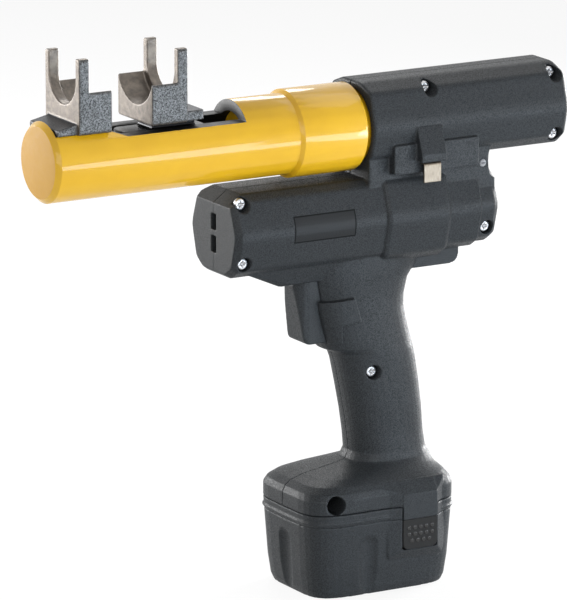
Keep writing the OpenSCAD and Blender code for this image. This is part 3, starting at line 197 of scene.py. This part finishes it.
def plastic(name, colour, grain=0.45 * MM, depth=0.08 * MM, rough=(0.72, 0.34), grain_wear_and_highlight=2.6, shine=0.22,
            plate=None, hole=None):
    """Moulded plastic with a fine spark-eroded grain, and edges painted a little paler, partly as rubbed wear and
    partly as a painted highlight.

    A plate is a smooth field with a thin groove round it, the groove painted darker as painted shade, and a hole
    is painted near black inside as painted shade.
    """
    g = Graph(name)
    pale = tuple(min(1, c * grain_wear_and_highlight) for c in colour[:3]) + (1,)
    specks = g.noise(grain, 1.0)
    cloud = g.spread(g.noise(9 * MM), 0.3, 0.7, 0.0, 0.35)
    body = g.mix(cloud, colour, tuple(c * 1.25 for c in colour[:3]) + (1,))
    body = g.mix(g.spread(specks, 0.38, 0.62, 0.0, 0.8), body, pale)
    # Outward edges painted paler: partly rubbed wear, partly a painted highlight along the edges.
    body = g.mix(g.edges(0.52, 0.62), body, pale)
    rub = g.spread(specks, 0.36, 0.64, *rough)
    if plate:
        off = g.field(*plate)
        inside = g.spread(off, -PLATE_EDGE, PLATE_EDGE, 1.0, 0.0)
        # The groove round the plate is painted darker: painted shade in the thin recess, which has no shape of its
        # own.
        groove = g.spread(g.maths("ABSOLUTE", off), *GROOVE, 1.0, 0.0)
        body = g.mix(groove, g.mix(inside, body, shade(0.75, colour[:3])), shade(0.3, colour[:3]))
        rub = g.spread(inside, 0.0, 1.0, rub, 0.46)
        rub = g.spread(groove, 0.0, 1.0, rub, 0.95)
    if hole:
        away = g.maths("SQRT", g.maths("ADD", g.maths("POWER", g.off("X", hole.x), 2.0),
                                       g.maths("POWER", g.off("Z", hole.z), 2.0)))
        # Painted shade: the foot hole is painted near black inside, fading in from its mouth.
        hole_shade = g.times(g.spread(away, HOLE_R - HOLE_EDGE, HOLE_R, 1.0, 0.0),
                         g.spread(g.along("Y"), -HOLE_Y, -HOLE_Y + HOLE_FADE, 0.0, 1.0))
        body = g.mix(hole_shade, body, shade(0.002))
        rub = g.spread(hole_shade, 0.0, 1.0, rub, 0.95)
    g.set(Base_Color=body, Roughness=rub, Specular_IOR_Level=shine)
    g.set(Normal=g.bump(specks, depth))
    return g.material


def paint(name, colour, deep, rough=(0.34, 0.42), coat=0.65, peel=0.002 * MM):
    """Paint over a turned bar, with slight orange peel and darker, thicker runs."""
    g = Graph(name)
    g.set(Base_Color=g.mix(g.spread(g.noise(14 * MM), 0.35, 0.65, 0.0, 0.3), colour, deep))
    g.set(Roughness=g.spread(g.noise(2.5 * MM), 0.3, 0.7, *rough))
    g.set(Normal=g.bump(g.noise(1.6 * MM, 1.0), peel))
    g.set(Specular_IOR_Level=0.2, Coat_Weight=coat, Coat_Roughness=0.04, Coat_IOR=1.5)
    return g.material


def cast(name, pale, dark):
    """Forged steel head: sawn, speckled sides, a dark slate wedge and brownish, rubbed fork faces."""
    g = Graph(name)
    fine = g.spread(g.noise(0.42 * MM, 2.0), 0.40, 0.60, 0.0, 1.0)
    speckle = g.mix(0.35, fine, g.spread(g.noise(1.1 * MM, 2.0), 0.40, 0.60, 0.0, 1.0))
    sides = g.mix(speckle, dark, pale)
    rub = g.spread(g.noise(3 * MM, 4.0), 0.35, 0.65, 0.0, 1.0)
    rubbed = g.mix(rub, (0.18, 0.155, 0.13, 1), (0.115, 0.10, 0.088, 1))
    place = g.along("X")
    between = g.times(g.spread(place, FIXED_WEDGE_X - EASE, FIXED_WEDGE_X, 0.0, 1.0),
                      g.spread(place, MOVING_WEDGE_X, MOVING_WEDGE_X + EASE, 1.0, 0.0))
    faces = g.mix(between, SLATE, rubbed)
    body = g.mix(g.spread(g.outward("Y"), 7 * MM, 11 * MM, 0.0, 1.0), faces, sides)
    g.set(Base_Color=g.mix(g.edges(0.54, 0.62), body, shade(0.42)))
    g.set(Metallic=0.75, Roughness=g.spread(fine, 0.0, 1.0, 0.52, 0.38))
    g.set(Normal=g.bump(g.noise(0.6 * MM, 3.0), 0.08 * MM))
    return g.material


def metal(name, colour, rough=(0.2, 0.36), stretch=(1, 1, 1), grain=0.6 * MM):
    """Machined metal with fine tool marks drawn out along one axis."""
    g = Graph(name)
    marks = g.noise(grain, 2.0, stretch)
    g.set(Base_Color=g.mix(g.spread(marks, 0.3, 0.7, 0.0, 1.0), colour, shade(0.78, colour[:3])))
    g.set(Metallic=1.0, Roughness=g.spread(marks, 0.3, 0.7, *rough))
    g.set(Normal=g.bump(marks, 0.008 * MM))
    return g.material


def rubber(name):
    g = Graph(name)
    g.set(Base_Color=g.mix(g.noise(4 * MM), shade(0.012), shade(0.03)))
    g.set(Roughness=g.spread(g.noise(1 * MM), 0.3, 0.7, 0.6, 0.8))
    g.set(Normal=g.bump(g.noise(0.6 * MM), 0.03 * MM))
    return g.material


def windings(name):
    """Varnished copper wire, wound along the rotor."""
    g = Graph(name)
    wires = g.bands(0.8 * MM, "Y")
    g.set(Base_Color=g.mix(wires, (0.16, 0.05, 0.02, 1), (0.68, 0.32, 0.14, 1)))
    g.set(Metallic=0.9, Roughness=g.spread(g.noise(1 * MM), 0.3, 0.7, 0.25, 0.4))
    g.set(Normal=g.bump(wires, 0.2 * MM))
    return g.material


def circuit_board(name):
    g = Graph(name)
    tracks = g.spread(g.cells(3 * MM), 0.42, 0.5, 0.0, 1.0)
    g.set(Base_Color=g.mix(tracks, (0.015, 0.13, 0.05, 1), (0.04, 0.26, 0.1, 1)))
    g.set(Roughness=g.spread(g.noise(2 * MM), 0.3, 0.7, 0.3, 0.45))
    g.set(Normal=g.bump(tracks, 0.04 * MM))
    return g.material


def cell_wrap(name):
    g = Graph(name)
    sheen = g.noise(6 * MM, 2.0, (0.2, 1, 1))
    g.set(Base_Color=g.mix(sheen, (0.02, 0.09, 0.26, 1), (0.05, 0.18, 0.42, 1)))
    g.set(Roughness=g.spread(sheen, 0.3, 0.7, 0.2, 0.35))
    g.set(Normal=g.bump(g.noise(3 * MM), 0.05 * MM))
    return g.material


SCREWS_APART = 7 * MM


def screw_places():
    """Axis and end heights of each screw in the frame's node of screws."""
    groups = []
    for vertex in nodes["housing_screws"].data.vertices:
        for group in groups:
            if (group[0].xz - vertex.co.xz).length < SCREWS_APART:
                group.append(vertex.co)
                break
        else:
            groups.append([vertex.co])
    for group in groups:
        xs, ys, zs = zip(*group)
        yield Vector(((min(xs) + max(xs)) / 2, min(ys), (min(zs) + max(zs)) / 2)), max(ys) - min(ys)


# Bare plate's field on the pod, as its middle and half sizes, and the hole in the foot
PLATE = ((NOSE_X + 149.5 * MM, POD_Z + 1.9 * MM), 17.5 * MM, 6.5 * MM)
PLATE_EDGE = 0.1 * MM
GROOVE = (0.2 * MM, 0.5 * MM)
FOOT_HOLE = min((place for place, length in screw_places()), key=lambda place: place.z)
HOLE_R = 4.9 * MM
HOLE_EDGE = 0.3 * MM
HOLE_Y = 30 * MM
HOLE_FADE = 2 * MM
DARK = (0.0135, 0.0152, 0.0168, 1)
SLATE = (0.035, 0.036, 0.04, 1)
BLACK = (0.012, 0.012, 0.013, 1)
MATERIALS = {
    "plastic": plastic("moulded_plastic", DARK),
    "black_plastic": plastic("black_plastic", BLACK, rough=(0.5, 0.35), shine=0.25),
    "ivory_grey": plastic("grey_pin", (0.16, 0.16, 0.165, 1)),
    "ivory": plastic("ivory_plastic", (0.72, 0.68, 0.56, 1), grain_wear_and_highlight=1.1),
    "yellow": paint("yellow_paint", (0.80, 0.455, 0.012, 1), (0.70, 0.37, 0.008, 1)),
    "cast": cast("cast_steel", shade(0.145), shade(0.007)),
    "black_steel": metal("black_steel", (0.022, 0.022, 0.024, 1), (0.16, 0.28)),
    "steel": metal("ground_steel", shade(0.62), stretch=(0.1, 1, 1)),
    "zinc": metal("zinc_plate", (0.55, 0.55, 0.56, 1), (0.3, 0.45)),
    "bronze": metal("sintered_bronze", (0.62, 0.40, 0.17, 1), (0.3, 0.5)),
    "spring": metal("spring_steel", (0.30, 0.31, 0.34, 1)),
    "rubber": rubber("oil_rubber"),
    "copper": windings("copper_windings"),
    "board": circuit_board("board_green"),
    "cell": cell_wrap("cell_wrap"),
}
for entry in frame["record"]["subparts"]:
    mesh = nodes[entry["node"]].data
    mesh.materials.clear()
    mesh.materials.append(MATERIALS[entry["material_slot"]])
marked = plastic("marked_plastic", DARK, plate=PLATE, hole=FOOT_HOLE)
nodes["left_housing"].data.materials[0] = marked
clip_steel = metal("clip_steel", (0.21, 0.175, 0.137, 1), (0.34, 0.48), (1, 1, 0.2))
nodes["strap_clip"].data.materials[0] = clip_steel


# Bare faces of the press frame: its slot is machined steel, coloured near black partly as painted shade inside the
# slot, and its nose has a matte coat
steel_and_shade = metal("slot_metal_and_shade", shade(0.05), (0.45, 0.6), (0.2, 1, 1))
nose_coat = paint("nose_coat", (0.64, 0.36, 0.07, 1), (0.57, 0.30, 0.045, 1), (0.5, 0.62), 0.0, 0.02 * MM)


SLOT_END = NOSE_X + 108.6 * MM
NOSE_EDGE = 2.51 * MM
NOSE_FACE = 0.5 * MM


def paint_frame():
    """Gives the slot's lands, ramp, bore and end wall bare steel coloured near black, partly as painted shade, and
    the nose's flat end its matte coat.
    """
    mesh = nodes["press_frame"].data
    mesh.materials.append(steel_and_shade)
    mesh.materials.append(nose_coat)
    for polygon in mesh.polygons:
        place, normal = polygon.center, polygon.normal
        facing = normal.dot(Vector((0, place.y, place.z - PRESS_Z)).normalized())
        if normal.x < -0.9 and place.x < NOSE_X + NOSE_FACE:
            polygon.material_index = 2
        elif facing < -0.3:
            polygon.material_index = 1
        elif place.x < SLOT_END and normal.x > -0.99 and facing < 0.9:
            polygon.material_index = int(place.x > NOSE_X + NOSE_EDGE)
        elif place.x < SLOT_END and normal.x < -0.99:
            polygon.material_index = 1


paint_frame()


def dotted(name, face):
    """Black plastic whose studs are polished above the face they stand on."""
    g = Graph(name)
    stud = g.spread(g.off("Y", 0.0), face + 0.05 * MM, face + 0.25 * MM, 0.0, 1.0)
    g.set(Base_Color=g.mix(g.noise(0.5 * MM, 1.0), shade(0.003), shade(0.009)))
    g.set(Roughness=g.spread(stud, 0.0, 1.0, 0.95, 0.18), Specular_IOR_Level=0.6)
    g.set(Normal=g.bump(g.noise(0.5 * MM, 1.0), 0.02 * MM))
    return g.material


STUD_H = 0.4 * MM
for side in ("left", "right"):
    mesh = nodes[f"{side}_latch_button"].data
    mesh.materials[0] = dotted(f"{side}_studs", max(abs(vertex.co.y) for vertex in mesh.vertices) - STUD_H)


def smooth(mesh):
    for polygon in mesh.polygons:
        polygon.use_smooth = True


def moulded(name, voxel, rounds, kept=1.0):
    """Gives a node the soft edges of a moulding: one even skin, eased, with its face count kept in hand."""
    node = nodes[name]
    node.modifiers.new("weld", "WELD").merge_threshold = 0.001 * MM
    skin = node.modifiers.new("skin", "REMESH")
    skin.mode = "VOXEL"
    skin.voxel_size = voxel
    skin.use_smooth_shade = True
    ease = node.modifiers.new("ease", "SMOOTH")
    ease.factor = 0.5
    ease.iterations = rounds
    if kept < 1:
        node.modifiers.new("thin", "DECIMATE").ratio = kept


def machined(name, width, segments=2):
    """Breaks a machined node's sharp edges by a small bevel and shades its round faces smooth."""
    node = nodes[name]
    node.modifiers.new("weld", "WELD").merge_threshold = 0.001 * MM
    bevel = node.modifiers.new("bevel", "BEVEL")
    bevel.width = width
    bevel.segments = segments
    bevel.limit_method = "ANGLE"
    bevel.angle_limit = math.radians(35)
    bevel.harden_normals = True
    smooth(node.data)


for side in ("left", "right"):
    moulded(f"{side}_housing", 0.45 * MM, 2, 0.3)
    moulded(f"{side}_latch_button", 0.16 * MM, 4)
moulded("battery_case", 0.5 * MM, 2, 0.4)
moulded("battery_cover", 0.5 * MM, 2, 0.4)
moulded("trigger", 0.5 * MM, 8)
for name in ("fixed_head", "moving_head"):
    moulded(name, 0.45 * MM, 5)
moulded("head_carriage", 0.5 * MM, 4)
moulded("strap_clip", 0.2 * MM, 4)
machined("press_frame", 0.35 * MM)


def solid(name, vertices, faces, material, body, slot):
    """A new piece that moves with a body of the frame."""
    mesh = bpy.data.meshes.new(name)
    mesh.from_pydata(vertices, [], faces)
    mesh.validate()
    smooth(mesh)
    mesh.materials.append(material)
    piece = bpy.data.objects.new(name, mesh)
    bpy.context.collection.objects.link(piece)
    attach(piece, body)
    return piece


def driver_radius(turn, arms, reach, half_w):
    """Edge of a driver recess with that many arms, seen along the screw."""
    period = 2 * math.pi / arms
    a = (turn + period / 2) % period - period / 2
    return min(reach / max(math.cos(a), 0.01), half_w / max(abs(math.sin(a)), 0.01))


def turned_with_recess(centre, profile, recess, segments=64):
    """Rings round -Y from (radius, y) pairs, then a driver recess in the last ring.

    The recess is its arms, their reach and half width, and its depth.
    """
    arms, reach, half_w, depth = recess
    rings = [[(r, y)] * segments for r, y in profile]
    turns = [2 * math.pi * (i + 0.5) / segments for i in range(segments)]
    top = profile[-1][1]
    edge = [driver_radius(t, arms, reach, half_w) for t in turns]
    rings += [[(r, top) for r in edge], [(0.8 * r, top + depth) for r in edge]]
    vertices = [centre + Vector((r * math.cos(t), y, r * math.sin(t)))
                for ring in rings for t, (r, y) in zip(turns, ring)]
    faces = [(k * segments + i, k * segments + (i + 1) % segments,
              (k + 1) * segments + (i + 1) % segments, (k + 1) * segments + i)
             for k in range(len(rings) - 1) for i in range(segments)]
    last = (len(rings) - 1) * segments
    faces += [tuple(last + i for i in range(segments)), tuple(range(segments - 1, -1, -1))]
    return vertices, faces


def join(parts):
    vertices, faces = [], []
    for more, corners in parts:
        faces += [tuple(c + len(vertices) for c in face) for face in corners]
        vertices += more
    return vertices, faces


def screws():
    """Pan heads with a cross recess on thin shanks."""
    head_r, shank_r, head_l, round_l = 3 * MM, 1.5 * MM, 2.4 * MM, 0.7 * MM
    cross = (4, 1.9 * MM, 0.42 * MM, 1.3 * MM)
    parts = []
    for place, length in screw_places():
        profile = [(shank_r, length), (shank_r, head_l), (head_r, head_l), (head_r, round_l)]
        profile += [(head_r - round_l * (1 - math.cos(a)) * 1.4, round_l * (1 - math.sin(a)))
                    for a in (math.radians(30), math.radians(60), math.radians(90))]
        parts.append(turned_with_recess(place, profile, cross))
    piece = solid("screws", *join(parts), MATERIALS["zinc"], "housing", "zinc")
    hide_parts("housing_screws")


CLEAR = 10 * MM


def near_side(x, z):
    """Where a line from the near side first meets the housing."""
    mesh = nodes["left_housing"].data
    skin = BVHTree.FromPolygons([v.co for v in mesh.vertices], [tuple(p.vertices) for p in mesh.polygons])
    return skin.ray_cast(Vector((x, cad_low.y - CLEAR, z)), Vector((0, 1, 0)))[0]


def web_pin():
    """Flush pin with a slot, in the web behind the plate."""
    place = near_side(NOSE_X + 244.8 * MM, PRESS_Z - 23.2 * MM)
    radius, proud, depth = 1.9 * MM, 0.5 * MM, 1 * MM
    profile = [(radius, depth), (radius, 0), (0.85 * radius, -proud)]
    slot = (2, 1.3 * MM, 0.28 * MM, 0.5 * MM)
    solid("web_pin", *turned_with_recess(place, profile, slot), MATERIALS["ivory_grey"], "housing", "plastic")


def springs():
    """Coils copied from the frame's spring nodes, shaded smooth and put in their place; the ends where each is
    carried and where it is pressed are found but not used.
    """
    for joint in frame["joints"]:
        for entry in joint.get("deforming_nodes", ()):
            name = entry["node"]
            axis = "xyz".index(entry["mode"][-1])
            fixed = entry[f"fixed_end_{entry['mode'][-1]}_m"]
            low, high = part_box(name)
            start, end = (low + high) / 2, (low + high) / 2
            start[axis], end[axis] = sorted((low[axis], high[axis]), key=lambda place: abs(place - fixed))
            mesh = nodes[name].data.copy()
            smooth(mesh)
            piece = bpy.data.objects.new(f"{name}_coil", mesh)
            bpy.context.collection.objects.link(piece)
            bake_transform(piece)
            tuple(start)
            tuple(end)
            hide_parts(name)


screws()
web_pin()
springs()


def camera():
    data = bpy.data.cameras.new("camera")
    data.lens = LENS_MM
    data.sensor_width = SENSOR_MM
    back = Vector((math.sin(AZIMUTH) * math.cos(ELEVATION), -math.cos(AZIMUTH) * math.cos(ELEVATION),
                   math.sin(ELEVATION)))
    eye = bpy.data.objects.new("camera", data)
    eye.location = TARGET + DISTANCE * back
    eye.rotation_mode = "QUATERNION"
    eye.rotation_quaternion = (-back).to_track_quat("-Z", "Y")
    bpy.context.collection.objects.link(eye)
    bpy.context.scene.camera = eye


def lamp(name, place, size, power, aim=TARGET, colour=(1, 1, 1)):
    data = bpy.data.lights.new(name, "AREA")
    data.color = colour
    data.shape = "RECTANGLE"
    data.size, data.size_y = size
    data.energy = power
    light = bpy.data.objects.new(name, data)
    light.location = place
    light.rotation_mode = "QUATERNION"
    light.rotation_quaternion = (aim - light.location).to_track_quat("-Z", "Y")
    bpy.context.collection.objects.link(light)


def seen_rays(tree):
    """1 for rays that show the background: seen straight, mirrored or through a clear piece."""
    rays = tree.nodes.new("ShaderNodeLightPath")
    total = rays.outputs["Is Camera Ray"]
    for kind in ("Is Glossy Ray", "Is Transmission Ray"):
        more = tree.nodes.new("ShaderNodeMath")
        more.operation = "MAXIMUM"
        tree.links.new(total, more.inputs[0])
        tree.links.new(rays.outputs[kind], more.inputs[1])
        total = more.outputs[0]
    return total


# Across the floor, away from the camera
AHEAD = (-math.sin(AZIMUTH), math.cos(AZIMUTH), 0)


def backdrop():
    """White where it is seen, and otherwise a soft light that comes from behind the object."""
    world = bpy.data.worlds.new("studio")
    bpy.context.scene.world = world
    world.use_nodes = True
    tree = world.node_tree
    background = tree.nodes["Background"]
    background.inputs["Color"].default_value = (1, 1, 1, 1)
    way = tree.nodes.new("ShaderNodeTexCoord")
    ahead = tree.nodes.new("ShaderNodeVectorMath")
    ahead.operation = "DOT_PRODUCT"
    ahead.inputs[1].default_value = AHEAD
    tree.links.new(way.outputs["Generated"], ahead.inputs[0])
    glow = tree.nodes.new("ShaderNodeMapRange")
    for key, value in (("From Min", 0.3), ("From Max", 0.95), ("To Min", 0.08), ("To Max", 1.1)):
        glow.inputs[key].default_value = value
    tree.links.new(ahead.outputs["Value"], glow.inputs["Value"])
    level = tree.nodes.new("ShaderNodeMapRange")
    level.inputs["To Max"].default_value = 1.0
    tree.links.new(seen_rays(tree), level.inputs["Value"])
    tree.links.new(glow.outputs["Result"], level.inputs["To Min"])
    tree.links.new(level.outputs["Result"], background.inputs["Strength"])


FLOOR_HALF = 6.0
FLOOR_GLOW = 1.04


def pale_floor():
    """Nearly white where seen, keeping its shadow. It stays under the battery when that is drawn out."""
    g = Graph("floor")
    glow = g.add("ShaderNodeEmission", {"Strength": FLOOR_GLOW})
    rays = seen_rays(g.tree)
    seen = g.mix(g.noise(0.3), shade(0.9), shade(0.93))
    g.set(Base_Color=g.mix(rays, shade(0.6), seen), Roughness=0.9)
    ahead = g.add("ShaderNodeVectorMath", {0: g.place(), 1: AHEAD}, operation="DOT_PRODUCT")
    swept = g.spread(ahead.outputs["Value"], -0.02, 0.12, 0.0, 0.8)
    share = g.spread(rays, 0.0, 1.0, swept, 0.84)
    blend = g.add("ShaderNodeMixShader", {0: share, 1: g.shader.outputs[0], 2: glow.outputs[0]})
    g.tree.links.new(blend.outputs[0], g.tree.nodes["Material Output"].inputs["Surface"])
    mesh = bpy.data.meshes.new("floor")
    half = FLOOR_HALF
    corners = [(-half, -half, 0), (half, -half, 0), (half, half, 0), (-half, half, 0)]
    mesh.from_pydata(corners, [], [(0, 1, 2, 3)])
    mesh.materials.append(g.material)
    floor = bpy.data.objects.new("floor", mesh)
    bpy.context.collection.objects.link(floor)
    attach(floor, "battery")


# Bluish light for the strip that the bar mirrors, and the place it is aimed at
COOL = (0.72, 0.86, 1.0)
STRIP_AIM = Vector((-0.02, 0, 0.22))


def lamps():
    lamp("key", Vector((-1.1, -0.6, 0.45)), (0.5, 0.5), 1.6)
    lamp("strip", Vector((0.31, -0.62, 0.09)), (0.75, 0.15), 2.8, STRIP_AIM, COOL)
    lamp("side", Vector((0.9, -0.75, 0.2)), (0.3, 0.4), 4)
    lamp("top", Vector((0.47, 0.0, 1.05)), (0.7, 0.4), 1.2)
    lamp("front", Vector((-0.5, -1.4, 0.7)), (0.8, 0.6), 8.5)
    lamp("over", Vector((0.38, 0.85, 1.0)), (0.35, 0.35), 3.6)
    lamp("rim", Vector((1.1, 0.35, 0.25)), (0.4, 0.5), 20)
    lamp("back", Vector((-0.75, 1.2, 0.35)), (0.9, 0.6), 20)


camera()
backdrop()
pale_floor()
lamps()
bpy.context.scene.view_settings.view_transform = "Standard"
